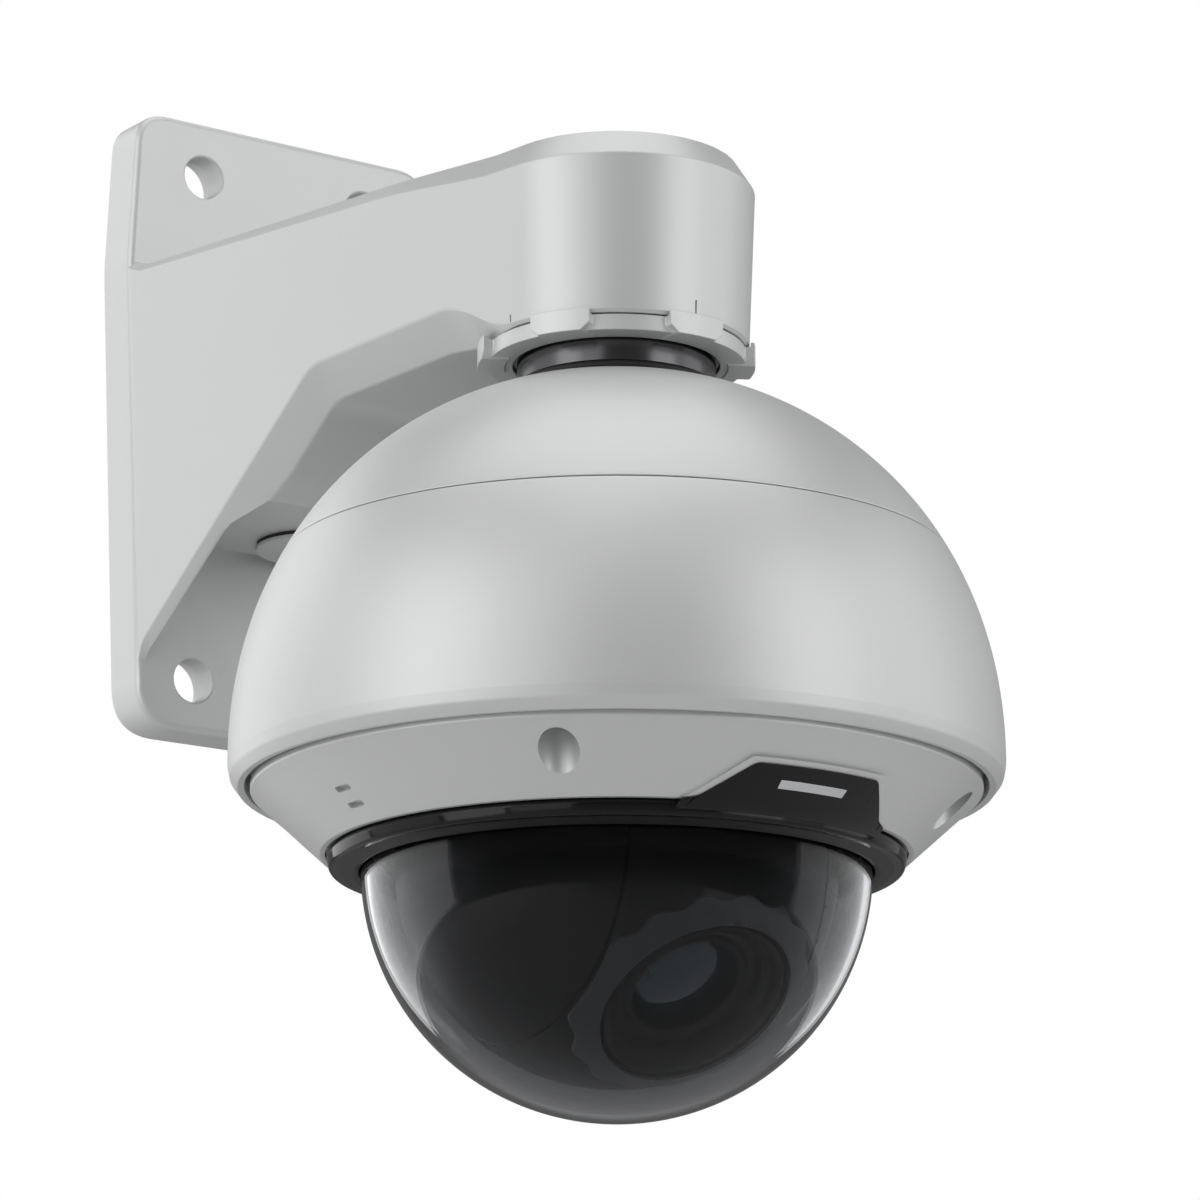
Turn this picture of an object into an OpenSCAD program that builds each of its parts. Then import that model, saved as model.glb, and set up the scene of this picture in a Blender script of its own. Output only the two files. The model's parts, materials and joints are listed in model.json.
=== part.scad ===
// Wall-mounted outdoor pan-tilt-zoom dome camera: a cast arm, a domed housing
// hung from a locking neck, and a panning yoke that carries a tilting zoom camera.
// Origin: centre of the wall bolt pattern on the wall. +Z up, -Y away from the wall.

/* [Wall arm] */
// Distance from the wall to the dome's axis
reach = 210; // [205:1:230]
// Height of the rim seam, measured from the bolt pattern's centre
rim_z = -154; // [-158:1:-154]
// Thickness of the plate at its edge
plate_t = 17; // [15:0.5:18]
// Thickness of the plate's front wall, where the bolts pass
plate_wall = 8.5; // [7:0.5:10]
// Bolt spacing across
bolt_dx = 64; // [60:1:66]
// Bolt spacing up and down
bolt_dz = 174; // [170:1:176]
// Radius of the bolt holes
bolt_r = 7.4; // [5:0.1:8]
// Radius of the shallow flat around each bolt hole
spot_r = 14.4; // [12:0.2:15]
// Radius of the boss behind each bolt hole, which bears on the wall
boss_r = 11.5; // [11.5:0.5:12.5]
// Radius of the arm's head at its lower edge
head_r = 40.6; // [40.2:0.1:41]
// Radius of the plug in the conduit entry
plug_r = 17; // [14:0.5:18]

/* [Housing] */
// Largest radius of the dome housing
dome_rx = 116; // [115:0.5:117]
// Height of the dome's curve above its widest line
dome_rz = 118.6; // [118:0.2:119]
// Wall thickness of the housing shells
shell_t = 3; // [2.5:0.5:3]
// Height of the joint between cap and lower housing
seam_z = 70.3; // [70:0.1:71]
// Outer radius of the clear bubble
bubble_r = 76.1; // [75.5:0.1:76.4]
// Wall thickness of the bubble
bubble_t = 2.5; // [2:0.5:3]

/* [Pan and tilt] */
// Radius of the black ball that holds the camera
ball_r = 66; // [65:0.5:66]
// Half width of the tilting middle of the ball
mid_w = 35.2; // [34:0.2:35.2]
// How far below level the lens points at rest
rest_tilt = 50; // [45:1:55]
// Tooth module of both gear pairs
gear_m = 1; // [1]
// Teeth on the pan gear
pan_teeth = 96; // [96]
// Teeth on the pan motor's pinion
pan_pinion_teeth = 16; // [16]
// Teeth on the tilt gear
tilt_teeth = 56; // [56]
// Teeth on the tilt motor's pinion
tilt_pinion_teeth = 14; // [14]

/* [Hidden] */

$fn = 96;
eps = 0.01;
grey = [0.80, 0.81, 0.80];
black = [0.05, 0.05, 0.055];
steel = [0.72, 0.73, 0.75];

// widest line of the dome, above the rim seam, and the fullness of its curve
belt_z = 8.4;
fullness = 2.1;
collar_r = 32.5;
// how much the sides of the wall plate draw in for each unit of height
side_slope = 0.0521;
// height of the arm head's lower edge above the rim seam
head_z = 137.7;
neck_r = 30.3;
neck_flange_r = 34.5;
// chassis plate and flange that it is screwed to
chassis_z = 61.5;
chassis_t = 2.5;
flange_z = chassis_z + chassis_t;
flange_top = seam_z - 0.7;
frame_screw_r = 94.5;
// trim cone
trim_top_r = 109.2;
trim_low_r = 88.3;
trim_low_z = -19.6;
trim_screw_r = 100.3;
dimple_r = 6;
badge_half_top = 12.8;
badge_half_low = 21;
// pan parts
pan_gear_z = 51;
pan_gear_h = 5;
pan_pinion_y = gear_m * (pan_teeth + pan_pinion_teeth) / 2;
hub_r = 15;
// tilt parts, on the bubble's centre
tilt_z = -22.5;
tilt_gear_x = 45;
tilt_gear_h = 3.5;
tilt_pinion_z = gear_m * (tilt_teeth + tilt_pinion_teeth) / 2;
trunnion_r = 4;
opening_r = 30.5;

// ---- frames and shared shapes ----

// on the dome's axis, measured up from the rim seam
module at_dome() {
    translate([0, -reach, rim_z]) children();
}

// on the tilt axis, with -Y along the lens
module at_lens() {
    at_dome() translate([0, 0, tilt_z]) rotate([rest_tilt, 0, 0]) children();
}

// turns a shape that is drawn upwards so that it points along the lens
module along_lens() {
    at_lens() rotate([90, 0, 0]) children();
}

module tube(r_out, r_in, h) {
    difference() {
        cylinder(r = r_out, h = h);
        translate([0, 0, -1]) cylinder(r = r_in, h = h + 2);
    }
}

module ring_of(count, radius, first = 0) {
    for (i = [0 : count - 1])
        rotate([0, 0, first + i * 360 / count]) translate([radius, 0, 0]) children();
}

function arc(c, r, a0, a1, n = 8) =
    [for (i = [0 : n]) let (a = a0 + (a1 - a0) * i / n) c + r * [cos(a), sin(a)]];

function mirrored(points) = [for (i = [len(points) - 1 : -1 : 0]) [-points[i][0], points[i][1]]];

// radius of the dome's outside at height z, shrunk by t
function dome_r(z, t = 0) =
    (dome_rx - t) * pow(1 - pow(max(0, z - belt_z) / (dome_rz - t), fullness), 1 / fullness);

// the dome's curve between two heights
function dome_curve(z0, z1, t = 0, n = 20) =
    [for (i = [0 : n]) let (z = z0 + (z1 - z0) * i / n) [dome_r(z, t), z]];

// radius of the trim cone's outside at height z
function cone_r(z, out = 0) =
    trim_low_r + out + (trim_top_r - 0.4 - trim_low_r) * (z - trim_low_z) / (-2 - trim_low_z);

// involute function of the radius r over the base circle rb, in degrees
function inv_deg(r, rb) = r <= rb ? 0 : let (t = sqrt(pow(r / rb, 2) - 1)) t * 180 / PI - atan(t);

// outline of a spur gear with a tooth on +X; play is the backlash on each flank
function gear_points(teeth, mod, play = 0.06) =
    let (rp = mod * teeth / 2, rb = rp * cos(20), half = 90 / teeth - play / rp * 180 / PI,
        radii = [rp - 1.15 * mod, rb, rp - 0.3 * mod, rp + 0.3 * mod, rp + 0.8 * mod])
    [for (t = [0 : teeth - 1], side = [-1, 1], k = [0 : len(radii) - 1])
        let (r = radii[side < 0 ? k : len(radii) - 1 - k],
            a = t * 360 / teeth + side * (half + inv_deg(rp, rb) - inv_deg(r, rb)))
        r * [cos(a), sin(a)]];

module gear(teeth, h, bore) {
    difference() {
        linear_extrude(h) polygon(gear_points(teeth, gear_m));
        translate([0, 0, -1]) cylinder(r = bore, h = h + 2);
    }
}

// ---- wall arm ----

// half of the plate's outline, shrunk by d
function plate_half(d) = concat(
    arc([37, -88.9], 15.6 - d, -90, 0), [[60 - d, 53]], arc([45.5, 94], 12 - d, 0, 90));

module plate_shape(d, y0, y1) {
    translate([0, -y0, 0]) rotate([90, 0, 0]) linear_extrude(y1 - y0)
        polygon(concat(plate_half(d), mirrored(plate_half(d))));
}

// half width of the arm at distance u from the wall and height z: it narrows away
// from the wall, and downwards as the plate does
function arm_half_w(u, z) = (59.7 - (53 - z) * side_slope) * (1 - max(0, u - plate_t) * 0.00144);

// a thin cross-section of the arm at distance u from the wall
module arm_slice(u, low, bevel) {
    top = 51.4 - u * 0.0488;
    w_low = arm_half_w(u, low);
    w_top = arm_half_w(u, top);
    half = [[w_low - bevel, low - bevel], [w_low, low], [w_top, top - 3], [w_top - 3, top]];
    translate([0, -u, 0]) rotate([90, 0, 0]) linear_extrude(eps)
        polygon(concat(half, mirrored(half)));
}

// lower edge of the arm's sides: distance from the wall, height, and width of the bevel
module arm_beam() {
    stations = [[12, -86, 1.5], [18, -83, 2.5], [21, -74, 3], [29.5, -65.6, 3], [61, -43, 3],
        [76, -32.4, 10], [110.5, -7.9, 10], [reach, -2.5, 10]];
    for (i = [0 : len(stations) - 2]) hull() {
        arm_slice(stations[i][0], stations[i][1], stations[i][2]);
        arm_slice(stations[i + 1][0], stations[i + 1][1], stations[i + 1][2]);
    }
}

module arm_head() {
    low = head_z + rim_z;
    translate([0, -reach, 0]) rotate_extrude() polygon([[0, low], [head_r - 0.6, low],
        [head_r, low + 0.6], [head_r + 2.5, 35.4], [head_r, 41], [0, 41]]);
}

// at each wall bolt, pointing away from the wall
module at_bolts() {
    for (x = [-1, 1], z = [-1, 1]) translate([x * bolt_dx / 2, 0, z * bolt_dz / 2])
        rotate([90, 0, 0]) children();
}

// open space inside the arm, from the wall to the head
module arm_cavity() {
    intersection() {
        translate([-80, 0, 0]) rotate([90, 0, 90]) linear_extrude(160) polygon([[1, 41],
            [-reach + 8, 35], [-reach + 8, -5], [-108, -5], [-79, -33], [1, -33]]);
        translate([0, 0, -60]) linear_extrude(140) polygon([[-52, 1], [-31, -reach + 8],
            [31, -reach + 8], [52, 1]]);
    }
}

module wall_arm() color(grey) difference() {
    union() {
        plate_shape(0, 0, plate_t);
        arm_beam();
        arm_head();
        at_dome() translate([0, 0, head_z - 2]) cylinder(r = 34.9, h = 4);
    }
    // the bay below the conduit entry, between the two side ribs
    translate([0, 0, -150]) linear_extrude(109) polygon([[-50.2, -plate_t], [-47.6, -64],
        [-41, -80], [-41, -140], [41, -140], [41, -80], [47.6, -64], [50.2, -plate_t]]);
    // hollow back of the plate, above and below the cable space
    difference() {
        plate_shape(8, -1, plate_t - plate_wall);
        translate([-70, -30, -41]) cube([140, 32, 90]);
        at_bolts() cylinder(r = boss_r, h = plate_t);
    }
    plate_gasket_shape(0.05, -1, 2.05);
    arm_cavity();
    at_bolts() {
        translate([0, 0, -1]) cylinder(r = bolt_r, h = 40);
        translate([0, 0, plate_t - 0.6]) cylinder(r = spot_r, h = 20);
    }
    // conduit entry
    translate([0, -40, -45]) cylinder(r = plug_r + 0.05, h = 20);
    // neck socket and cable way in the head
    at_dome() translate([0, 0, head_z - 3]) cylinder(r = neck_r + 0.3, h = 15);
    at_dome() translate([0, 0, head_z]) cylinder(r = 24, h = 49);
    // alignment mark on the front of the head
    translate([-0.4, -reach - head_r - 3, -17]) cube([0.8, 3.4, 6.4]);
}

module plate_gasket_shape(extra, y0, y1) difference() {
    plate_shape(2.5 - extra, y0, y1);
    plate_shape(5.5 + extra, y0 - 1, y1 + 1);
}

module wall_gasket() color(black) plate_gasket_shape(0, 0, 2);

module conduit_plug() color(grey) translate([0, -40, -41]) difference() {
    union() {
        cylinder(r = plug_r, h = 8);
        translate([0, 0, -2.6]) cylinder(r = plug_r + 2.8, h = 1.5);
        translate([0, 0, -1.2]) cylinder(r = plug_r - 1, h = 2);
    }
    translate([0, 0, -3]) cylinder(r = 5.5, h = 6, $fn = 6);
}

module plug_seal() color(black) translate([0, -40, -42.1]) tube(plug_r + 2.5, plug_r - 0.9, 1.1);

// ---- neck and lock ring ----

module lock_ring() color(grey) at_dome() difference() {
    union() {
        translate([0, 0, 132.4]) cylinder(r = head_r - 1.1, h = head_z - 132.8);
        ring_of(6, 0, -90) lock_lug();
    }
    translate([0, 0, 130]) cylinder(r = 31.6, h = 10);
    translate([0, 0, 133.4]) cylinder(r = 35.3, h = 10);
    translate([0, 0, head_z - 0.4]) cylinder(r = head_r + 0.6, h = 10);
}

// one lug of the castellated rim, 25 degrees wide with sloping ends
module lock_lug() {
    intersection() {
        translate([0, 0, 131.8]) tube(head_r + 1.8, 34, 6.9);
        rotate([90, 0, 90]) linear_extrude(50)
            polygon([[-7, 131.8], [7, 131.8], [9.6, 134.2], [9.6, 138.7], [-9.6, 138.7], [-9.6, 134.2]]);
    }
}

module neck_tube() color(steel) at_dome() difference() {
    union() {
        translate([0, 0, 104]) cylinder(r = 24.5, h = 20);
        translate([0, 0, 122.3]) cylinder(r = neck_r, h = 26);
        translate([0, 0, 133.5]) cylinder(r = neck_flange_r, h = 2.1);
    }
    translate([0, 0, 100]) cylinder(r = 21, h = 60);
    translate([0, 0, 122.9]) tube(40, neck_r - 1.1, 2.8);
}

module neck_seal() color(black) at_dome() translate([0, 0, 124.3]) rotate_extrude()
    translate([neck_r + 0.2, 0]) circle(r = 1.25, $fn = 32);

module neck_nut() color(steel) at_dome() translate([0, 0, 110]) difference() {
    cylinder(r = 31, h = 7.8, $fn = 6);
    translate([0, 0, -1]) cylinder(r = 24.55, h = 10);
}

// ---- housing ----

module top_cap() color(grey) at_dome() difference() {
    rotate_extrude() polygon(concat(
        dome_curve(seam_z + 0.15, 120.6),
        [[collar_r, 121.4], [collar_r, 122.2], [24.6, 122.2], [24.6, 117.9], [33, 117.9]],
        dome_curve(115, 74, shell_t, 14),
        [[90, 74], [90, seam_z + 0.15]]));
    ring_of(4, frame_screw_r, 45) translate([0, 0, 60]) cylinder(r = 2.05, h = 14.6);
}

module housing_gasket() color(black) at_dome() translate([0, 0, flange_top - 0.8])
    tube(101.2 - 1.2, 97.6, 1.6);

module main_housing() color(grey) at_dome() difference() {
    rotate_extrude() polygon(concat(
        dome_curve(belt_z, seam_z - 0.15),
        [[dome_r(seam_z) - 4, seam_z - 0.15], [dome_r(seam_z) - 4, flange_top],
            [90, flange_top], [90, flange_z], [dome_r(flange_z, shell_t), flange_z]],
        dome_curve(flange_z - 0.1, 12.1, shell_t, 14),
        [[112.9, 12], [94, 12], [94, 8], [110.9, 8], [110.9, 0.2], [112.8, 0], [114.6, 1.4],
            [115.6, 4]]));
    translate([0, 0, flange_top - 0.8]) tube(101.2 - 1.15, 97.55, 3);
    ring_of(4, frame_screw_r, 45) translate([0, 0, 60]) cylinder(r = 2.1, h = 14);
    ring_of(4, trim_screw_r, 45) translate([0, 0, 7]) cylinder(r = 2.05, h = 4);
}

module frame_screws() color(steel) at_dome() ring_of(4, frame_screw_r, 45)
    pan_head_screw(chassis_z, 3.8, 2.6, 2, 12.6);

// a screw from below: head under z, shank above it, cross recess in the head
module pan_head_screw(z, head, head_h, shank, length) difference() {
    union() {
        translate([0, 0, z - head_h]) cylinder(r1 = head - 0.5, r2 = head, h = head_h);
        translate([0, 0, z - eps]) cylinder(r = shank, h = length);
    }
    for (a = [0, 90]) rotate([0, 0, a]) translate([-head * 0.6, -0.5, z - head_h - 0.5])
        cube([head * 1.2, 1, 1.7]);
}

// ---- trim, bezel and bubble ----

module trim_gasket() color(black) at_dome() translate([0, 0, 6.6]) tube(108.6, 105.4, 1.4);

module trim_ring() color(grey) at_dome() difference() {
    union() {
        rotate_extrude() polygon([[trim_top_r, -0.9], [trim_top_r - 0.4, -2],
            [trim_low_r, trim_low_z], [86.6, trim_low_z], [86.6, -18.15], [77.5, -18.15],
            [77.5, -15.8], [87.6, -15.8], [104, -2], [104, 6.5], [108.9, 6.5], [108.9, 1.4],
            [trim_top_r, 0.8]]);
        ring_of(4, trim_screw_r, 45) trim_boss();
        intersection() {
            rotate_extrude() polygon([[cone_r(-9.5) - 2, -9.5], [cone_r(-9.5, 0.9), -9.5],
                [cone_r(trim_low_z, 0.9), trim_low_z], [cone_r(trim_low_z) - 1, trim_low_z]]);
            badge_wedge(1.6);
        }
    }
    ring_of(4, trim_screw_r, 45) {
        translate([0, 0, -30]) cylinder(r = dimple_r, h = 31);
        translate([0, 0, -2]) cylinder(r = 2.2, h = 12);
    }
    intersection() {
        rotate_extrude() polygon(badge_section(0.05));
        badge_wedge(0.05);
    }
    // two small slots on the left flank
    for (z = [-10.5, -14.5]) rotate([0, 0, 181]) translate([cone_r(z), 0, z])
        rotate([0, 90, 0]) linear_extrude(10, center = true) slot_shape(7.2, 2.1);
}

// the solid that a dimple is sunk into, kept just inside the cone
module trim_boss() intersection() {
    translate([0, 0, -18]) cylinder(r = dimple_r + 2, h = 24.4);
    translate([-trim_screw_r, 0, 0]) rotate_extrude() polygon([[0, -18], [cone_r(-18) - 0.2, -18],
        [cone_r(-2.4) - 0.2, -2.4], [108.6, -1], [108.6, 6.4], [0, 6.4]]);
}

module slot_shape(length, width) square([width, length], center = true);

// wedge between the badge's sloping ends, seen from the front, grown by d
module badge_wedge(d) {
    top = 98 * sin(badge_half_top) + d;
    low = 90 * sin(badge_half_low) + d;
    translate([0, -60, 0]) rotate([90, 0, 0]) linear_extrude(60) polygon([[-low - 2, -30],
        [low + 2, -30], [low, -19], [top, -10.6 + d], [-top, -10.6 + d], [-low, -19]]);
}

// cross-section of the badge, lying on the cone; grow leaves room around it
function badge_section(grow) = [[cone_r(-10.6) - 1.2 - grow, -10.6 + grow],
    [cone_r(-10.6, 1.6), -10.6 + grow], [cone_r(-19.5, 1.6), -19.5],
    [cone_r(-19.5, 1.6), -30], [86.6, -30], [86.6, -19.7 + grow],
    [cone_r(-19.5) - 1.2 - grow, -19.5]];

module badge_panel() color(black) at_dome() intersection() {
    rotate_extrude() polygon([[cone_r(-10.6) - 1.2, -10.6], [cone_r(-10.6, 1.5), -10.6],
        [cone_r(-19.4, 1.5), -19.4], [87.4, -21.6], [86.8, -21.6], [86.8, -19.65],
        [cone_r(-19.5) - 1.2, -19.5]]);
    badge_wedge(0);
}

module trim_screws() color(steel) at_dome() ring_of(4, trim_screw_r, 45)
    pan_head_screw(1, 4.2, 2.4, 2, 9.5);

module bezel_ring() color(black) at_dome() rotate_extrude() polygon(concat(
    [[76.6, -21.7], [76.6, -24.8], [78, -25.4], [82.6, -24]],
    arc([83.2, -21.2], 2.8, -90, 70, 12),
    [[84, -18.25], [80.6, -18.25], [80.6, -21.7]]));

module bubble() color([0.25, 0.27, 0.3, 0.5]) at_dome() {
    difference() {
        translate([0, 0, tilt_z]) sphere(r = bubble_r);
        translate([0, 0, tilt_z]) sphere(r = bubble_r - bubble_t);
        translate([-100, -100, -21.5]) cube([200, 200, 120]);
    }
    translate([0, 0, -21.6]) tube(80.2, bubble_r - bubble_t, 2);
}

module bubble_gasket() color(black) at_dome() translate([0, 0, -19.55]) tube(80.1, 77.6, 1.35);

module liner_ring() color(black) at_dome() rotate_extrude() polygon([[67.4, -12], [69, -12],
    [77.2, -14.2], [86, -14.2], [86, -15.7], [76.6, -15.7], [68.6, -13.5], [67.4, -13.5]]);

// ---- chassis and electronics ----

module chassis_plate() color(steel) at_dome() difference() {
    union() {
        translate([0, 0, chassis_z]) cylinder(r = 98, h = chassis_t);
        translate([0, 0, chassis_z - 1]) cylinder(r = 31, h = 11.4);
    }
    translate([0, 0, 50]) cylinder(r = 24, h = 30);
    translate([0, 0, chassis_z]) cylinder(r = 26, h = 30);
    ring_of(4, frame_screw_r, 45) translate([0, 0, 60]) cylinder(r = 2.1, h = 14);
    translate([0, pan_pinion_y, 50]) cylinder(r = 10, h = 30);
    translate([62, 0, 50]) cylinder(r = 22, h = 30);
    for (a = [-60, -120, 150, 210]) rotate([0, 0, a]) translate([84, 0, 50]) cylinder(r = 6, h = 30);
}

// feet of both boards, as x, y
main_feet = [[-50, -42], [50, -42], [-34, -72], [34, -72]];
power_feet = [[-80, -21], [-44, -21], [-80, 21], [-44, 21]];
board_z = flange_z + 7;

module board_standoffs() color([0.8, 0.68, 0.4]) at_dome() for (p = concat(main_feet, power_feet))
    translate([p[0], p[1], flange_z]) {
        cylinder(r = 2.8, h = 7, $fn = 6);
        cylinder(r = 1.4, h = 8.6);
        translate([0, 0, 8.6]) cylinder(r = 2.6, h = 1.8);
    }

module board(outline, feet) color([0.08, 0.3, 0.16]) at_dome() translate([0, 0, board_z])
    difference() {
        linear_extrude(1.6) polygon(outline);
        for (p = feet) translate([p[0], p[1], -1]) cylinder(r = 1.5, h = 4);
    }

module main_board() board([[-56, -36], [56, -36], [56, -52], [40, -78], [-40, -78], [-56, -52]],
    main_feet);

module power_board() board([[-86, -26], [-38, -26], [-38, 26], [-86, 26]], power_feet);

module block(p, size) translate([p[0], p[1], board_z + 1.6]) translate([-size[0] / 2, -size[1] / 2, 0])
    cube(size);

module board_chips() color(black) at_dome() {
    block([-14, -52], [16, 16, 2.4]);
    block([10, -50], [10, 10, 1.8]);
    block([30, -58], [8, 12, 1.6]);
    block([-36, -56], [9, 7, 1.8]);
    block([-4, -70], [12, 5, 1.4]);
}

module network_jack() color(steel) at_dome() difference() {
    block([26, -44], [16, 14, 13.5]);
    translate([20, -37.5 - 10, board_z + 3.5]) cube([12, 11, 8]);
}

module terminal_block() color([0.1, 0.4, 0.2]) at_dome() difference() {
    block([-68, -14], [20, 9, 9]);
    for (i = [-1 : 1]) translate([-68 + i * 6, -14, board_z + 6]) cylinder(r = 2, h = 8);
}

module transformer() color([0.85, 0.7, 0.2]) at_dome() {
    block([-62, 8], [22, 20, 4]);
    block([-62, 8], [14, 20, 14]);
}

module fan_frame() color(black) at_dome() translate([62, 0, flange_z]) {
    difference() {
        translate([-25, -25, 0]) cube([50, 50, 12]);
        translate([0, 0, -1]) cylinder(r = 23, h = 14);
        for (x = [-20.5, 20.5], y = [-20.5, 20.5]) translate([x, y, -1]) cylinder(r = 1.8, h = 14);
    }
    difference() {
        union() {
            cylinder(r = 9, h = 1.5);
            for (a = [0, 120, 240]) rotate([0, 0, a]) translate([8, -1.5, 0]) cube([15.6, 3, 1.5]);
        }
        translate([0, 0, -1]) cylinder(r = 1.4, h = 4);
    }
}

module fan_rotor() color(black) at_dome() translate([62, 0, flange_z]) {
    translate([0, 0, 2]) cylinder(r = 9.5, h = 9);
    cylinder(r = 1.35, h = 3);
    for (i = [0 : 6]) rotate([0, 0, i * 360 / 7]) translate([9, 0, 6.5]) rotate([38, 0, 0])
        translate([0, -5, -0.6]) cube([13, 10, 1.2]);
}

module heater_block() color(steel) at_dome() translate([66, -18, 52]) difference() {
    cube([28, 36, 9.4]);
    for (i = [0 : 6]) translate([-1, 2 + i * 4.6, -1]) cube([22, 2.6, 7.5]);
}

// ---- pan drive ----

module pan_motor() color(steel) at_dome() translate([0, pan_pinion_y, 0]) difference() {
    union() {
        translate([-17.5, -15, flange_z]) cube([35, 30, 24]);
        translate([0, 0, chassis_z + 0.3]) cylinder(r = 9.8, h = 4);
    }
    translate([0, 0, 55]) cylinder(r = 2.6, h = 20);
}

module pan_pinion() color([0.8, 0.68, 0.4]) at_dome() translate([0, pan_pinion_y, 0]) {
    translate([0, 0, pan_gear_z - 0.5]) rotate([0, 0, -90 + 180 / pan_pinion_teeth])
        linear_extrude(pan_gear_h + 1) polygon(gear_points(pan_pinion_teeth, gear_m));
    translate([0, 0, pan_gear_z]) cylinder(r = 2.5, h = 22);
}

module pan_gear() color([0.9, 0.9, 0.86]) at_dome() translate([0, 0, pan_gear_z]) difference() {
    rotate([0, 0, 90]) gear(pan_teeth, pan_gear_h, hub_r + 0.05);
    ring_of(6, 31) translate([0, 0, -1]) cylinder(r = 8, h = 10);
}

// bearing race with a groove for the balls
module race(r_out, r_in) translate([0, 0, chassis_z]) difference() {
    tube(r_out, r_in, 8);
    translate([0, 0, 4]) rotate_extrude() translate([20.5, 0]) circle(r = 2.5, $fn = 32);
}

module pan_bearing_outer() color(steel) at_dome() race(25.98, 21.8);

module pan_bearing_inner() color(steel) at_dome() race(19.2, hub_r + 0.02);

module pan_bearing_balls() color(steel) at_dome() translate([0, 0, chassis_z + 4])
    ring_of(18, 20.5) sphere(r = 2.15, $fn = 32);

module slip_ring_stator() color(black) at_dome() difference() {
    union() {
        translate([0, 0, 71.95]) cylinder(r = 30, h = 2);
        translate([0, 0, 72]) cylinder(r = 14, h = 16);
    }
    translate([0, 0, 70]) cylinder(r = 9.3, h = 16);
    ring_of(3, 25.8) translate([0, 0, 70]) cylinder(r = 1.6, h = 8);
}

module slip_ring_rotor() color([0.8, 0.68, 0.4]) at_dome() difference() {
    translate([0, 0, 56]) cylinder(r = 8.9, h = 28);
    translate([0, 0, 55]) cylinder(r = 5.5, h = 30);
    for (i = [0 : 4]) translate([0, 0, 73 + 2.2 * i]) tube(12, 8.5, 0.8);
}

module pan_yoke() color([0.3, 0.3, 0.32]) at_dome() difference() {
    union() {
        translate([0, 0, 46.4]) cylinder(r = 60, h = 3.2);
        translate([0, 0, 46.4]) cylinder(r = hub_r, h = 24.4);
        translate([0, 0, 49]) cylinder(r = 22, h = 1.95);
        translate([0, 0, pan_gear_z + pan_gear_h + 0.1]) cylinder(r = 18, h = 3.2);
        for (s = [-1, 1]) translate([s * 41.5 - 1.5, -14, tilt_z - 16]) cube([3, 28, 86]);
        // outer ear that holds the tilt motor
        translate([50, -13, tilt_z + 22]) cube([2, 26, 48]);
    }
    translate([0, 0, 40]) cylinder(r = 9, h = 40);
    translate([-60, 0, tilt_z]) rotate([0, 90, 0]) cylinder(r = 6.02, h = 120);
    translate([38, 0, tilt_z + tilt_pinion_z]) rotate([0, 90, 0]) cylinder(r = 2.9, h = 20);
}

// ---- ball covers ----

module ball_shell(t) difference() {
    sphere(r = ball_r);
    sphere(r = ball_r - t);
}

// half cover on the side s, hollow, with a flat inner wall
module cheek(s) at_dome() translate([0, 0, tilt_z]) mirror([s > 0 ? 0 : 1, 0, 0]) difference() {
    union() {
        intersection() {
            ball_shell(2.2);
            translate([36, -80, -80]) cube([60, 160, 100.4]);
        }
        intersection() {
            sphere(r = ball_r - 1);
            translate([36, -80, -80]) cube([1.8, 160, 100.4]);
        }
    }
    translate([30, 0, 0]) rotate([0, 90, 0]) cylinder(r = 8, h = 10);
}

module left_cheek() color(black) cheek(-1);
module right_cheek() color(black) cheek(1);

module eyeball_front() color(black) at_lens() difference() {
    intersection() {
        ball_shell(2.2);
        translate([-mid_w, -80, -80]) cube([2 * mid_w, 79.9, 160]);
    }
    rotate([90, 0, 0]) cylinder(r = opening_r, h = 80);
}

module eyeball_rear() color(black) at_lens() difference() {
    intersection() {
        ball_shell(2.2);
        translate([-mid_w, 0.1, -80]) cube([2 * mid_w, 80, 160]);
    }
    for (i = [-2 : 2]) translate([-14, 40, i * 8 - 1.5]) cube([28, 40, 3]);
}

// ---- tilt drive ----

module tilt_bushes() color([0.8, 0.68, 0.4]) at_dome() translate([0, 0, tilt_z]) for (s = [0, 1])
    mirror([s, 0, 0]) translate([39.9, 0, 0]) rotate([0, 90, 0]) tube(6, trunnion_r + 0.05, 3.2);

module tilt_motor() color(steel) at_dome() translate([0, 0, tilt_z + tilt_pinion_z]) difference() {
    rotate([0, 90, 0]) translate([0, 0, 52.05]) cylinder(r = 10.5, h = 12);
    rotate([0, 90, 0]) translate([0, 0, 50]) cylinder(r = 2, h = 10);
}

module tilt_pinion() color([0.8, 0.68, 0.4]) at_dome()
    translate([tilt_gear_x, 0, tilt_z + tilt_pinion_z]) rotate([0, 90, 0]) {
        translate([0, 0, -0.4]) linear_extrude(tilt_gear_h + 0.4) rotate(180 / tilt_pinion_teeth)
            polygon(gear_points(tilt_pinion_teeth, gear_m));
        cylinder(r = 1.9, h = 14);
    }

module tilt_gear() color([0.9, 0.9, 0.86]) at_dome() translate([tilt_gear_x, 0, tilt_z])
    rotate([0, 90, 0]) difference() {
        rotate([0, 0, 180]) gear(tilt_teeth, tilt_gear_h - 0.4, trunnion_r + 0.02);
        ring_of(5, 17) translate([0, 0, -1]) cylinder(r = 6, h = 10);
    }

module tilt_cradle() color(steel) at_lens() {
    for (s = [-1, 1]) translate([s * 31 - 1, -22, -24]) cube([2, 50, 48]);
    translate([-32, 26, -24]) cube([64, 2, 48]);
    translate([31.5, 0, 0]) rotate([0, 90, 0]) cylinder(r = trunnion_r, h = 18);
    translate([-31.5, 0, 0]) rotate([0, -90, 0]) cylinder(r = trunnion_r, h = 12);
    // four arms that reach out to the ball covers
    for (s = [-1, 1], z = [-24, 22]) translate([s * 31 - 1, -50, z]) cube([2, 78, 2]);
}

// ---- camera ----

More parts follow.
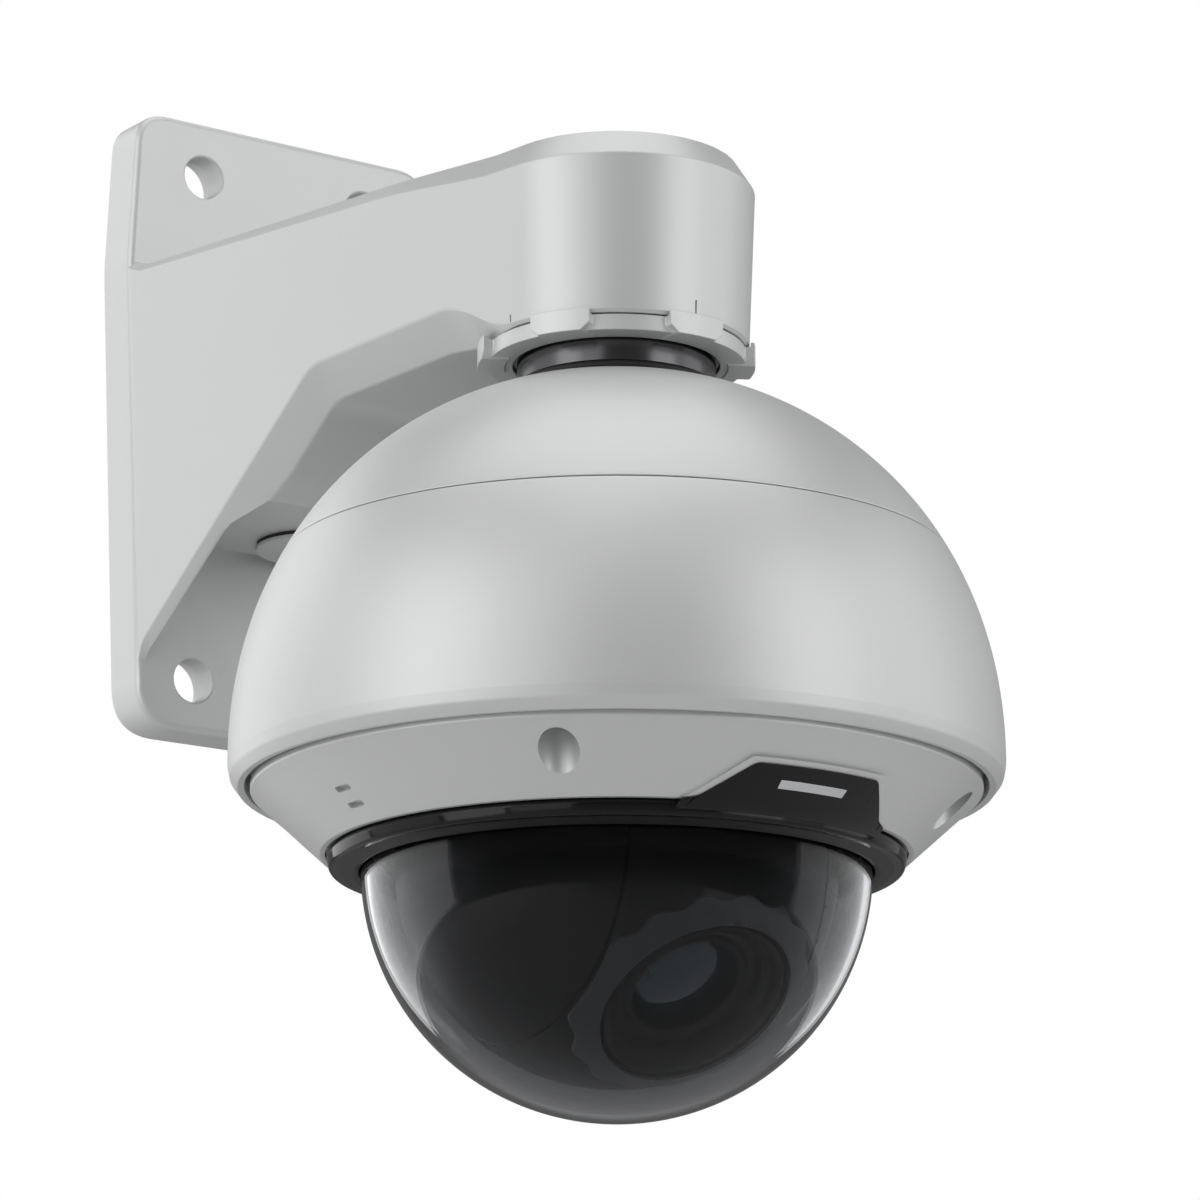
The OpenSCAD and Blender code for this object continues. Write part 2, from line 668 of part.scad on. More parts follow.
module camera_block() color([0.12, 0.12, 0.13]) at_lens() difference() {
    translate([-29.9, -6, -22]) cube([59.8, 31.9, 44]);
    translate([-20, -7, -16]) cube([40, 28, 32]);
}

module sensor_board() color([0.08, 0.3, 0.16]) at_lens() translate([-19, 17, -15])
    cube([38, 1.6, 30]);

module lens_barrel() color([0.12, 0.12, 0.13]) along_lens() difference() {
    union() {
        translate([0, 0, 6.05]) cylinder(r = 21, h = 28);
        translate([0, 0, 30]) cylinder(r = 24, h = 12);
    }
    translate([0, 0, 0]) cylinder(r = 16, h = 60);
}

module front_lens() color([0.15, 0.25, 0.35, 0.6]) along_lens() intersection() {
    translate([0, 0, 42.1]) cylinder(r = 18.5, h = 12);
    translate([0, 0, 51 - 44]) sphere(r = 44);
}

module zoom_group() color([0.2, 0.3, 0.4]) along_lens() translate([0, 0, 26]) cylinder(r = 15.7, h = 6);

module focus_group() color([0.2, 0.3, 0.4]) along_lens() translate([0, 0, 8]) cylinder(r = 15.7, h = 5);

// stepped black funnel round the front glass
module lens_hood() color(black) along_lens() difference() {
    union() {
        translate([0, 0, 42.1]) cylinder(r = 24, h = 8);
        rotate_extrude() polygon([[20, 48], [26, 48], [28.6, 55], [28.6, 58.4], [27.2, 59.2],
            [26.2, 58.4], [24.6, 53.6], [20, 51.5]]);
    }
    translate([0, 0, 40]) cylinder(r = 18.6, h = 30);
}

// scalloped ring on the ball round the lens opening
module lens_bezel() color([0.1, 0.1, 0.105]) at_lens() intersection() {
    difference() {
        sphere(r = ball_r + 1);
        sphere(r = ball_r + 0.05);
        rotate([90, 0, 0]) cylinder(r = 29.5, h = 80);
    }
    rotate([90, 0, 0]) translate([0, 0, 20]) linear_extrude(60)
        polygon([for (i = [0 : 143]) let (a = i * 2.5) (36.6 + 0.9 * cos(16 * a)) * [cos(a), sin(a)]]);
    translate([-mid_w + 0.2, -80, -80]) cube([2 * mid_w - 0.4, 160, 160]);
}

// ---- all parts ----
wall_arm();
wall_gasket();
conduit_plug();
plug_seal();
lock_ring();
neck_tube();
neck_seal();
neck_nut();
top_cap();
housing_gasket();
main_housing();
frame_screws();
trim_gasket();
trim_ring();
trim_screws();
badge_panel();
bezel_ring();
bubble();
bubble_gasket();
liner_ring();
chassis_plate();
board_standoffs();
main_board();
board_chips();
network_jack();
power_board();
terminal_block();
transformer();
fan_frame();
fan_rotor();
heater_block();
pan_motor();
pan_pinion();
pan_bearing_outer();
pan_bearing_balls();
pan_bearing_inner();
slip_ring_stator();
slip_ring_rotor();
pan_gear();
pan_yoke();
left_cheek();
right_cheek();
tilt_bushes();
tilt_motor();
tilt_pinion();
tilt_gear();
tilt_cradle();
eyeball_front();
eyeball_rear();
lens_bezel();
lens_hood();
lens_barrel();
front_lens();
zoom_group();
focus_group();
camera_block();
sensor_board();
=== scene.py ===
# Wall-mounted pan-tilt-zoom dome camera: looks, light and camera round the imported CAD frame.
import bpy, bmesh, json, math
from mathutils import Matrix, Vector


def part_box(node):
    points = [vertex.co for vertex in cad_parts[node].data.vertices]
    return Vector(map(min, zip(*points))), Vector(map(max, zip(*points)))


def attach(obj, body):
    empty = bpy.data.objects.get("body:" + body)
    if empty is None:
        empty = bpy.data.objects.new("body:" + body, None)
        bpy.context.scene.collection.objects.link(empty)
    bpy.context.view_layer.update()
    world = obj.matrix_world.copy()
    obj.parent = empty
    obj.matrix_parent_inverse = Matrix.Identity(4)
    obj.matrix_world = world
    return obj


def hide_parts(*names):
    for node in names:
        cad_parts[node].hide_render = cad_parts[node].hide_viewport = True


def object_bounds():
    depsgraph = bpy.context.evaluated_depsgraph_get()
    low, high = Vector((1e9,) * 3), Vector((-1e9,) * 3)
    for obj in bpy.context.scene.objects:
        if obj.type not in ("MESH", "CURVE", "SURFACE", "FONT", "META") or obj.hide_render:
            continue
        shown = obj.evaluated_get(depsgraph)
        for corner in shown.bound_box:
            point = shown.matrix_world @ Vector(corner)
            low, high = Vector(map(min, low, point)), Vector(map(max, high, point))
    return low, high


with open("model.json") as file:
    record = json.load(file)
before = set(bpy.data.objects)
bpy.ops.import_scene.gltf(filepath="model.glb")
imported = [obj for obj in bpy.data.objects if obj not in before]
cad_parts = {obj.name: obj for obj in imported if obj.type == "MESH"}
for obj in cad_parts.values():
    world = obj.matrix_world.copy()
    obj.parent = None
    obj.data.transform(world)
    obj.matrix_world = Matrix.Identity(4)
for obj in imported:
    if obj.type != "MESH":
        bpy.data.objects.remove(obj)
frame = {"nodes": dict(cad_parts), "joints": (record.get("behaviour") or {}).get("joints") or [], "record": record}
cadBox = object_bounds()
print("frame loaded:", len(frame["nodes"]), "nodes")

mm = 0.001
bubbleLow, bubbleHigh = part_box("bubble")
domeAxis = Vector(((bubbleLow.x + bubbleHigh.x) / 2, (bubbleLow.y + bubbleHigh.y) / 2, 0))
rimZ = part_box("main_housing")[0].z             # height of the rim seam
tiltJoint = next(j for j in frame["joints"] if j["name"] == "tilt_turn")
tiltCentre = Vector(tiltJoint["pos_m"])
restTilt = math.radians(-tiltJoint["range_deg"][0])      # how far below level the lens points at rest


# camera and light

cameraSettings = {
    "yaw": 35.58,          # degrees to the left of straight in front
    "pitch": 14.14,        # degrees that it looks up
    "distance": 1.497,     # from the point it aims at
    "aimAside": -0.0067,   # that point, from the dome's axis and the rim seam
    "aimBack": -0.0008,
    "aimUp": 0.0582,
    "lens": 149.58,
}


def addCamera(s):
    yaw, pitch = math.radians(s["yaw"]), math.radians(s["pitch"])
    look = Vector((math.sin(yaw) * math.cos(pitch), math.cos(yaw) * math.cos(pitch), math.sin(pitch)))
    aim = domeAxis + Vector((s["aimAside"], s["aimBack"], rimZ + s["aimUp"]))
    data = bpy.data.cameras.new("photoCamera")
    data.lens, data.sensor_width = s["lens"], 36
    cam = bpy.data.objects.new("photoCamera", data)
    cam.location = aim - look * s["distance"]
    cam.rotation_euler = look.to_track_quat("-Z", "Y").to_euler()
    bpy.context.scene.collection.objects.link(cam)
    bpy.context.scene.camera = cam


def addSoftbox(name, s):
    data = bpy.data.lights.new(name, "AREA")
    data.shape, data.size, data.size_y = "RECTANGLE", s["size"][0], s["size"][1]
    data.energy, data.color = s["power"], s.get("color", (1, 1, 1))
    lamp = bpy.data.objects.new(name, data)
    target = domeAxis + Vector((0, 0, rimZ + 0.03))
    a, e = math.radians(s["azimuth"]), math.radians(s["elevation"])
    back = Vector((math.sin(a) * math.cos(e), -math.cos(a) * math.cos(e), math.sin(e)))
    lamp.location = target + back * s["distance"]
    lamp.rotation_euler = (-back).to_track_quat("-Z", "Y").to_euler()
    bpy.context.scene.collection.objects.link(lamp)


softboxes = {
    "backLeft": {"azimuth": -165, "elevation": 12, "distance": 1.5, "size": (1.05, 1.7), "power": 6.7},
    "farLeft": {"azimuth": -126, "elevation": 12, "distance": 1.5, "size": (1.05, 1.7), "power": 3.6},
    "left": {"azimuth": -92, "elevation": 12, "distance": 1.5, "size": (0.75, 1.7), "power": 7.2},
    "nearLeft": {"azimuth": -65, "elevation": 12, "distance": 1.5, "size": (0.7, 1.7), "power": 3.3},
    "frontRight": {"azimuth": 18, "elevation": 12, "distance": 1.5, "size": (0.75, 1.7), "power": 6.3},
    "nearRight": {"azimuth": 39, "elevation": 12, "distance": 1.5, "size": (0.6, 1.7), "power": 2.0},
    "right": {"azimuth": 64, "elevation": 12, "distance": 1.5, "size": (0.75, 1.7), "power": 3.9},
    "farRight": {"azimuth": 95, "elevation": 12, "distance": 1.5, "size": (0.75, 1.7), "power": 1.2},
    "bubbleLeft": {"azimuth": -152, "elevation": 2, "distance": 1.5, "size": (2.3, 2.0), "power": 24,
                   "only": True},       # the two wide ones shine on the bubble alone
    "bubbleRight": {"azimuth": 88, "elevation": 6, "distance": 1.5, "size": (2.2, 1.7), "power": 12,
                    "only": True},
    "top": {"azimuth": 0, "elevation": 88, "distance": 1.7, "size": (1.8, 1.8), "power": 12.4},
    "frontHigh": {"azimuth": -30, "elevation": 45, "distance": 1.9, "size": (1.6, 1.0), "power": 1.6},
}

stageSettings = {"floorDrop": 0.42, "floorSize": 24, "floorGrey": 0.62, "worldSeen": 1.0, "worldLight": 0.15}


def lightsOnly(lamp, obj, seen):
    # a lamp that shines on this piece alone, or on everything else
    group = bpy.data.collections.new(lamp.name + "Reach")
    group.objects.link(obj)
    lamp.light_linking.receiver_collection = group
    group.collection_objects[0].light_linking.link_state = "INCLUDE" if seen else "EXCLUDE"


def addStage(s):
    mesh = bpy.data.meshes.new("floor")
    bm = bmesh.new()
    bmesh.ops.create_grid(bm, x_segments=1, y_segments=1, size=s["floorSize"] / 2)
    bmesh.ops.translate(bm, verts=bm.verts, vec=(0, 0, cadBox[0].z - s["floorDrop"]))
    bm.to_mesh(mesh)
    bm.free()
    floor = bpy.data.objects.new("floor", mesh)
    bpy.context.scene.collection.objects.link(floor)
    mat = bpy.data.materials.new("paleFloor")
    mat.use_nodes = True
    shader = mat.node_tree.nodes["Principled BSDF"]
    shader.inputs["Base Color"].default_value = (s["floorGrey"],) * 3 + (1,)
    shader.inputs["Roughness"].default_value = 0.7
    mesh.materials.append(mat)
    world = bpy.data.worlds.new("studio")
    world.use_nodes = True
    nodes, links = world.node_tree.nodes, world.node_tree.links
    seen, light = nodes["Background"], nodes.new("ShaderNodeBackground")
    seen.inputs["Strength"].default_value = s["worldSeen"]
    seen.inputs["Color"].default_value = (1, 1, 1, 1)
    light.inputs["Color"].default_value = (1, 1, 1, 1)
    light.inputs["Strength"].default_value = s["worldLight"]
    path, mix = nodes.new("ShaderNodeLightPath"), nodes.new("ShaderNodeMixShader")
    links.new(path.outputs["Is Camera Ray"], mix.inputs["Fac"])
    links.new(light.outputs[0], mix.inputs[1])
    links.new(seen.outputs[0], mix.inputs[2])
    links.new(mix.outputs[0], nodes["World Output"].inputs["Surface"])
    bpy.context.scene.world = world


addCamera(cameraSettings)
for name, settings in softboxes.items():
    addSoftbox(name, settings)
addStage(stageSettings)
bpy.context.scene.view_settings.view_transform = "Standard"
print("camera, lamps and floor placed")


# materials

def surface(name, s):
    mat = bpy.data.materials.new(name)
    mat.use_nodes = True
    nodes, links = mat.node_tree.nodes, mat.node_tree.links
    shader = nodes["Principled BSDF"]
    coords = nodes.new("ShaderNodeTexCoord")
    blotch = nodes.new("ShaderNodeTexNoise")
    blotch.inputs["Scale"].default_value = s.get("blotchScale", 9)
    blotch.inputs["Detail"].default_value = 5
    links.new(coords.outputs["Object"], blotch.inputs["Vector"])
    tone = nodes.new("ShaderNodeValToRGB")
    low, high = [c * (1 - s["vary"]) for c in s["color"]], [min(1, c * (1 + s["vary"])) for c in s["color"]]
    tone.color_ramp.elements[0].position, tone.color_ramp.elements[1].position = 0.3, 0.7
    tone.color_ramp.elements[0].color = (*low, 1)
    tone.color_ramp.elements[1].color = (*high, 1)
    links.new(blotch.outputs["Fac"], tone.inputs["Fac"])
    links.new(tone.outputs["Color"], shader.inputs["Base Color"])
    rough = nodes.new("ShaderNodeMapRange")
    rough.inputs["To Min"].default_value = s["rough"] - s.get("roughVary", 0.04)
    rough.inputs["To Max"].default_value = s["rough"] + s.get("roughVary", 0.04)
    links.new(blotch.outputs["Fac"], rough.inputs["Value"])
    links.new(rough.outputs["Result"], shader.inputs["Roughness"])
    grain = nodes.new("ShaderNodeTexNoise")
    grain.inputs["Scale"].default_value = s["grainScale"]
    grain.inputs["Detail"].default_value = 2
    stretch = nodes.new("ShaderNodeMapping")
    stretch.inputs["Scale"].default_value = s.get("stretch", (1, 1, 1))
    links.new(coords.outputs["Object"], stretch.inputs["Vector"])
    links.new(stretch.outputs["Vector"], grain.inputs["Vector"])
    bump = nodes.new("ShaderNodeBump")
    bump.inputs["Strength"].default_value = s["bump"]
    bump.inputs["Distance"].default_value = s.get("bumpDepth", 0.0001)
    links.new(grain.outputs["Fac"], bump.inputs["Height"])
    links.new(bump.outputs["Normal"], shader.inputs["Normal"])
    shader.inputs["Metallic"].default_value = s.get("metal", 0)
    shader.inputs["Coat Weight"].default_value = s.get("coat", 0)
    shader.inputs["Coat Roughness"].default_value = s.get("coatRough", 0.05)
    shader.inputs["Specular IOR Level"].default_value = s.get("specular", 0.5)
    return mat


def clearSkin(name, s):
    mat = bpy.data.materials.new(name)
    mat.use_nodes = True
    nodes, links = mat.node_tree.nodes, mat.node_tree.links
    glass = nodes["Principled BSDF"]
    glass.inputs["Transmission Weight"].default_value = 1
    glass.inputs["IOR"].default_value = s["ior"]
    coords, cloud = nodes.new("ShaderNodeTexCoord"), nodes.new("ShaderNodeTexNoise")
    cloud.inputs["Scale"].default_value = s["cloudScale"]
    links.new(coords.outputs["Object"], cloud.inputs["Vector"])
    tone = nodes.new("ShaderNodeValToRGB")
    tone.color_ramp.elements[0].color = (*[c * 0.97 for c in s["color"]], 1)
    tone.color_ramp.elements[1].color = (*s["color"], 1)
    links.new(cloud.outputs["Fac"], tone.inputs["Fac"])
    links.new(tone.outputs["Color"], glass.inputs["Base Color"])
    rough = nodes.new("ShaderNodeMapRange")
    rough.inputs["To Min"].default_value = s["rough"] * 0.6
    rough.inputs["To Max"].default_value = s["rough"] * 1.4
    links.new(cloud.outputs["Fac"], rough.inputs["Value"])
    links.new(rough.outputs["Result"], glass.inputs["Roughness"])
    through, path, mix = (nodes.new(t) for t in (
        "ShaderNodeBsdfTransparent", "ShaderNodeLightPath", "ShaderNodeMixShader"))
    through.inputs["Color"].default_value = (*s["color"], 1)
    links.new(path.outputs["Is Shadow Ray"], mix.inputs["Fac"])
    links.new(glass.outputs["BSDF"], mix.inputs[1])
    links.new(through.outputs["BSDF"], mix.inputs[2])
    links.new(mix.outputs["Shader"], nodes["Material Output"].inputs["Surface"])
    return mat


finishes = {
    "greyPaint": {"color": (0.66, 0.67, 0.665), "vary": 0.012, "rough": 0.44, "grainScale": 900, "bump": 0.10,
                  "metal": 0.45},
    "glossBlack": {"color": (0.006, 0.006, 0.007), "vary": 0.1, "rough": 0.10, "grainScale": 300, "bump": 0.01,
                   "coat": 0.1, "specular": 0.22},
    "satinBlack": {"color": (0.010, 0.010, 0.011), "vary": 0.12, "rough": 0.42, "grainScale": 900, "bump": 0.03,
                   "specular": 0.4},
    "ballBlack": {"color": (0.005, 0.005, 0.0055), "vary": 0.12, "rough": 0.40, "grainScale": 900,
                  "bump": 0.015, "specular": 0.25},
    "ringGrey": {"color": (0.06, 0.06, 0.062), "vary": 0.1, "rough": 0.42, "grainScale": 1500, "bump": 0.15},
    "rubber": {"color": (0.012, 0.012, 0.012), "vary": 0.2, "rough": 0.62, "grainScale": 2200, "bump": 0.2},
    "polishedSteel": {"color": (0.72, 0.73, 0.75), "vary": 0.03, "rough": 0.10, "grainScale": 700, "bump": 0.04,
                      "metal": 1, "stretch": (1, 1, 14)},
    "darkChrome": {"color": (0.13, 0.13, 0.135), "vary": 0.04, "rough": 0.24, "grainScale": 700, "bump": 0.01,
                   "metal": 1},
    "zincSteel": {"color": (0.56, 0.57, 0.58), "vary": 0.08, "rough": 0.3, "grainScale": 900, "bump": 0.15,
                  "metal": 1},
    "aluminium": {"color": (0.66, 0.67, 0.68), "vary": 0.06, "rough": 0.34, "grainScale": 800, "bump": 0.15,
                  "metal": 1, "stretch": (1, 12, 1)},
    "boardGreen": {"color": (0.02, 0.13, 0.05), "vary": 0.15, "rough": 0.28, "grainScale": 500, "bump": 0.2},
    "brass": {"color": (0.70, 0.50, 0.20), "vary": 0.08, "rough": 0.24, "grainScale": 900, "bump": 0.1,
              "metal": 1},
    "nylon": {"color": (0.75, 0.74, 0.68), "vary": 0.04, "rough": 0.45, "grainScale": 900, "bump": 0.1},
    "coilTape": {"color": (0.62, 0.42, 0.06), "vary": 0.08, "rough": 0.5, "grainScale": 900, "bump": 0.2},
    "terminalGreen": {"color": (0.03, 0.24, 0.09), "vary": 0.06, "rough": 0.42, "grainScale": 900, "bump": 0.1},
    "coatedGlass": {"color": (0.006, 0.030, 0.042), "vary": 0.35, "rough": 0.06, "roughVary": 0.02,
                    "grainScale": 200, "bump": 0.0, "coat": 1.0, "coatRough": 0.02, "blotchScale": 60},
}
materials = {name: surface(name, s) for name, s in finishes.items()}
materials["smokedBubble"] = clearSkin("smokedBubble", {"color": (0.56, 0.57, 0.59), "ior": 1.25,
                                                       "rough": 0.012, "cloudScale": 12})
materials["lensGlass"] = clearSkin("lensGlass", {"color": (0.25, 0.50, 0.62), "ior": 1.6,
                                                 "rough": 0.01, "cloudScale": 30})
slotFinish = {
    "grey_paint": "greyPaint", "black_gloss": "glossBlack", "black_matte": "ballBlack", "rubber": "rubber",
    "smoked_clear": "smokedBubble", "lens_glass": "lensGlass", "polished_steel": "polishedSteel",
    "zinc_steel": "zincSteel", "aluminium": "aluminium", "board_green": "boardGreen", "brass": "brass",
    "natural_nylon": "nylon", "transformer_tape": "coilTape", "terminal_green": "terminalGreen",
}
nodeSlots = {s["node"]: s["material_slot"] for s in frame["record"]["subparts"]}
nodeFinish = {"lens_bezel": "ringGrey", "lens_hood": "satinBlack", "board_chips": "satinBlack"}


def finishOf(node):
    return nodeFinish.get(node, slotFinish[nodeSlots[node]])


for name, node in frame["nodes"].items():
    node.data.materials.clear()
    node.data.materials.append(materials[finishOf(name)])
print("materials made:", len(materials))


# making pieces

def filleted(points, steps=5):
    # (across, up) or (across, up, fillet): a closed outline with its marked corners rounded
    made = []
    for i, p in enumerate(points):
        here = Vector(p[:2])
        if len(p) < 3:
            made.append(tuple(here))
            continue
        before = (Vector(points[i - 1][:2]) - here).normalized()
        after = (Vector(points[(i + 1) % len(points)][:2]) - here).normalized()
        reach = p[2] / math.tan(before.angle(after) / 2)
        start, end = here + before * reach, here + after * reach
        for k in range(steps + 1):
            t = k / steps
            made.append(tuple(start * (1 - t) ** 2 + here * 2 * t * (1 - t) + end * t ** 2))
    return made


domePlace = Matrix.Translation(domeAxis + Vector((0, 0, rimZ)))
lensPlace = (Matrix.Translation(tiltCentre) @ Matrix.Rotation(restTilt, 4, "X")
             @ Matrix.Rotation(math.radians(90), 4, "X"))


def lathe(profile, place=domePlace, steps=192, turn=360, start=0):
    # a closed (radius, height) outline in millimetres, turned about the place's Z axis
    bm = bmesh.new()
    verts = [bm.verts.new((r * mm, 0, z * mm)) for r, z in profile]
    edges = [bm.edges.new(pair) for pair in zip(verts, verts[1:] + verts[:1])]
    bmesh.ops.rotate(bm, verts=verts, cent=(0, 0, 0), matrix=Matrix.Rotation(math.radians(start), 3, "Z"))
    full = turn == 360
    if not full:
        first = bm.faces.new(verts)
        made = bmesh.ops.spin(bm, geom=[first], cent=(0, 0, 0), axis=(0, 0, 1), angle=math.radians(turn),
                              steps=steps)
    else:
        bmesh.ops.spin(bm, geom=verts + edges, cent=(0, 0, 0), axis=(0, 0, 1), angle=math.radians(turn),
                       steps=steps, use_merge=True)
    bmesh.ops.remove_doubles(bm, verts=bm.verts, dist=1e-7)
    bmesh.ops.recalc_face_normals(bm, faces=bm.faces)
    bmesh.ops.transform(bm, matrix=place, verts=bm.verts)
    return bm


def prism(outline, depth, place):
    # a flat (x, y) outline in millimetres, raised along the place's Z axis
    bm = bmesh.new()
    face = bm.faces.new([bm.verts.new((x * mm, y * mm, 0)) for x, y in outline])
    raised = bmesh.ops.extrude_face_region(bm, geom=[face])
    top = [v for v in raised["geom"] if isinstance(v, bmesh.types.BMVert)]
    bmesh.ops.translate(bm, verts=top, vec=(0, 0, depth * mm))
    bmesh.ops.recalc_face_normals(bm, faces=bm.faces)
    bmesh.ops.transform(bm, matrix=place, verts=bm.verts)
    return bm


def rod(radius, depth, place, segments=64, radiusEnd=None):
    bm = bmesh.new()
    end = radius if radiusEnd is None else radiusEnd
    bmesh.ops.create_cone(bm, cap_ends=True, segments=segments, radius1=radius * mm, radius2=end * mm,
                          depth=depth * mm, matrix=place @ Matrix.Translation((0, 0, depth * mm / 2)))
    return bm


def nodeCopy(node):
    # the CAD node's mesh, merged, with its flat faces joined up again
    bm = bmesh.new()
    bm.from_mesh(frame["nodes"][node].data)
    bmesh.ops.remove_doubles(bm, verts=bm.verts, dist=1e-6)
    bmesh.ops.dissolve_limit(bm, angle_limit=math.radians(0.4), verts=bm.verts, edges=bm.edges)
    return bm


def toObject(name, bm, finish):
    mesh = bpy.data.meshes.new(name)
    bm.to_mesh(mesh)
    bm.free()
    obj = bpy.data.objects.new(name, mesh)
    bpy.context.scene.collection.objects.link(obj)
    mesh.materials.append(materials[finish])
    return obj


def takeMesh(obj):
    bm = bmesh.new()
    bm.from_mesh(obj.data)
    bpy.data.objects.remove(obj)
    return bm


def bake(obj):
    # the piece's modifiers become its mesh
    bpy.context.view_layer.update()
    result = bpy.data.meshes.new_from_object(obj.evaluated_get(bpy.context.evaluated_depsgraph_get()))
    obj.modifiers.clear()
    old, obj.data = obj.data, result
    bpy.data.meshes.remove(old)


def carve(obj, bm, how="DIFFERENCE"):
    cutter = toObject("cutter", bm, "satinBlack")
    cutter.data.materials.clear()
    mod = obj.modifiers.new("carve", "BOOLEAN")
    mod.object, mod.operation, mod.solver = cutter, how, "EXACT"
    bake(obj)
    bpy.data.objects.remove(cutter)


def finishPiece(obj, body, replaced=(), soft=None, sharpAngle=32):
    mesh = obj.data
    mesh.name = obj.name
    mesh.polygons.foreach_set("use_smooth", [True] * len(mesh.polygons))
    mesh.set_sharp_from_angle(angle=math.radians(sharpAngle))
    if soft:
        bevel = obj.modifiers.new("softEdges", "BEVEL")
        bevel.width, bevel.segments = soft * mm, 3
        bevel.limit_method, bevel.angle_limit = "ANGLE", math.radians(sharpAngle)
        bevel.use_clamp_overlap = False
        bevel.miter_outer = "MITER_ARC"
        bevel.harden_normals = True
    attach(obj, body)
    if replaced:
        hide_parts(*replaced)
    return obj


def domeCurve(s, low, high, shrink=0, steps=40):
    # the dome's fuller-than-round curve between two heights
    points = []
    for i in range(steps + 1):
        z = low + (high - low) * i / steps
        lift = (z - s["beltZ"]) / (s["rise"] - shrink)
        points.append(((s["radius"] - shrink) * (1 - max(0, lift) ** s["fullness"]) ** (1 / s["fullness"]), z))
    return points


# dome shells

dome = {
    "radius": 116, "rise": 118.6, "beltZ": 8.4, "fullness": 2.1, "wall": 3, "seamZ": 70.3, "gap": 0.17,
    "collarR": 32.5, "collarZ": 122.2,
}


def makeTopCap(s):
    low = s["seamZ"] + s["gap"]
    outer = domeCurve(s, low, 120.4)
    inner = domeCurve(s, 114.5, 74, s["wall"], 16)
    profile = [(*outer[0], 0.25)] + outer[1:] + [
        (s["collarR"], 121.3), (s["collarR"], s["collarZ"], 0.5), (24.6, s["collarZ"]), (24.6, 117.9),
        (33, 117.9)] + inner + [(90, 74), (90, low)]
    return finishPiece(toObject("topCap", lathe(filleted(profile, 4)), "greyPaint"),
                       "housing", ["top_cap"])


def makeMainHousing(s):
    high = s["seamZ"] - s["gap"]
    outer = domeCurve(s, s["beltZ"], high, 0, 44)
    inner = domeCurve(s, 64, 12.2, s["wall"], 16)
    profile = outer[:-1] + [
        (*outer[-1], 0.25), (outer[-1][0] - 4, high), (outer[-1][0] - 4, 69.6), (90, 69.6), (90, 64),
        *inner, (112.9, 12), (94, 12), (94, 8), (110.9, 8), (110.9, 0.3, 0.2), (112.9, 0.05, 0.35),
        (115.3, 3.2, 2.5), (115.95, 6.6, 1.0)]
    return finishPiece(toObject("mainHousing", lathe(filleted(profile, 4)), "greyPaint"),
                       "housing", ["main_housing"])


makeTopCap(dome)
makeMainHousing(dome)
print("dome shells made")


# trim, badge, bezel and bubble

trim = {
    "topR": 109.2, "lowR": 88.3, "topZ": -2, "lowZ": -19.6, "screwR": 100.3, "dimpleR": 5.9, "bossR": 9.4,
    "badgeTop": 21.7, "badgeLow": 32.2, "badgeTopZ": -10.6, "badgeLowZ": -19.0, "surround": 1.9,
    "slotZ": (-10.6, -14.6), "slotAngle": 181,
}


def coneR(s, z, out=0):
    return s["lowR"] + out + (s["topR"] - 0.4 - s["lowR"]) * (z - s["lowZ"]) / (s["topZ"] - s["lowZ"])


def turned(angle, radius=0, up=0):
    # a place on the dome at an angle measured from +X, standing upright
    return (domePlace @ Matrix.Rotation(math.radians(angle), 4, "Z")
            @ Matrix.Translation((radius * mm, 0, up * mm)))


frontPlace = domePlace @ Matrix.Translation((0, -60 * mm, 0)) @ Matrix.Rotation(math.radians(90), 4, "X")


def badgeOutline(s, grow):
    top, low = s["badgeTop"] + grow * 0.7, s["badgeLow"] + grow * 1.4
    high = s["badgeTopZ"] + grow
    return filleted([(-low - 4, -34), (low + 4, -34), (low + 4, s["badgeLowZ"] - 1), (low, s["badgeLowZ"], 4),
                     (top, high, 4.5), (-top, high, 4.5), (-low, s["badgeLowZ"], 4),
                     (-low - 4, s["badgeLowZ"] - 1)], 6)


def makeTrim(s):
    profile = [(s["topR"], -0.8, 1.2), (s["lowR"], s["lowZ"], 0.8), (86.6, s["lowZ"], 0.2), (86.6, -18.15),
               (77.5, -18.15), (77.5, -15.8), (87.6, -15.8), (104, -2), (104, 6.5), (108.9, 6.5),
               (108.9, 1.2), (s["topR"], 1.0)]
    obj = toObject("trimRing", lathe(filleted(profile, 6)), "greyPaint")
    for i in range(4):
        boss = toObject("boss", rod(s["bossR"], 24, turned(45 + 90 * i, s["screwR"], -18)), "greyPaint")
        inside = lathe([(0, -17.6), (coneR(s, -17.6, -1.4), -17.6), (coneR(s, -2.4, -1.4), -2.4),
                        (107.6, -1), (108.4, 6.2), (0, 6.2)])
        carve(boss, inside, "INTERSECT")
        carve(obj, takeMesh(boss), "UNION")
    pad = [(coneR(s, -9.2, -3), -9.2), (coneR(s, -9.2, 0.9), -9.2), (coneR(s, -19.4, 0.9), -19.4),
           (coneR(s, -19.4, -1), -19.4)]
    padShape = toObject("padShape", lathe(pad, turn=110, steps=80, start=-145), "greyPaint")
    carve(padShape, prism(badgeOutline(s, s["surround"]), 80, frontPlace), "INTERSECT")
    carve(obj, takeMesh(padShape), "UNION")
    for i in range(4):
        carve(obj, rod(s["dimpleR"], 39.4, turned(45 + 90 * i, s["screwR"], -38.6)))
    for z in s["slotZ"]:
        slot = prism(filleted([(-1.05, -3.5, 0.9), (1.05, -3.5, 0.9), (1.05, 3.5, 0.9), (-1.05, 3.5, 0.9)]), 3,
                     turned(s["slotAngle"], coneR(s, z) - 1.2, z) @ Matrix.Rotation(math.radians(140), 4, "Y")
                     @ Matrix.Translation((0, 0, -1.5 * mm)))
        carve(obj, slot)
    weigh = obj.modifiers.new("weighNormals", "WEIGHTED_NORMAL")
    weigh.keep_sharp = True
    return finishPiece(obj, "housing", ["trim_ring"])


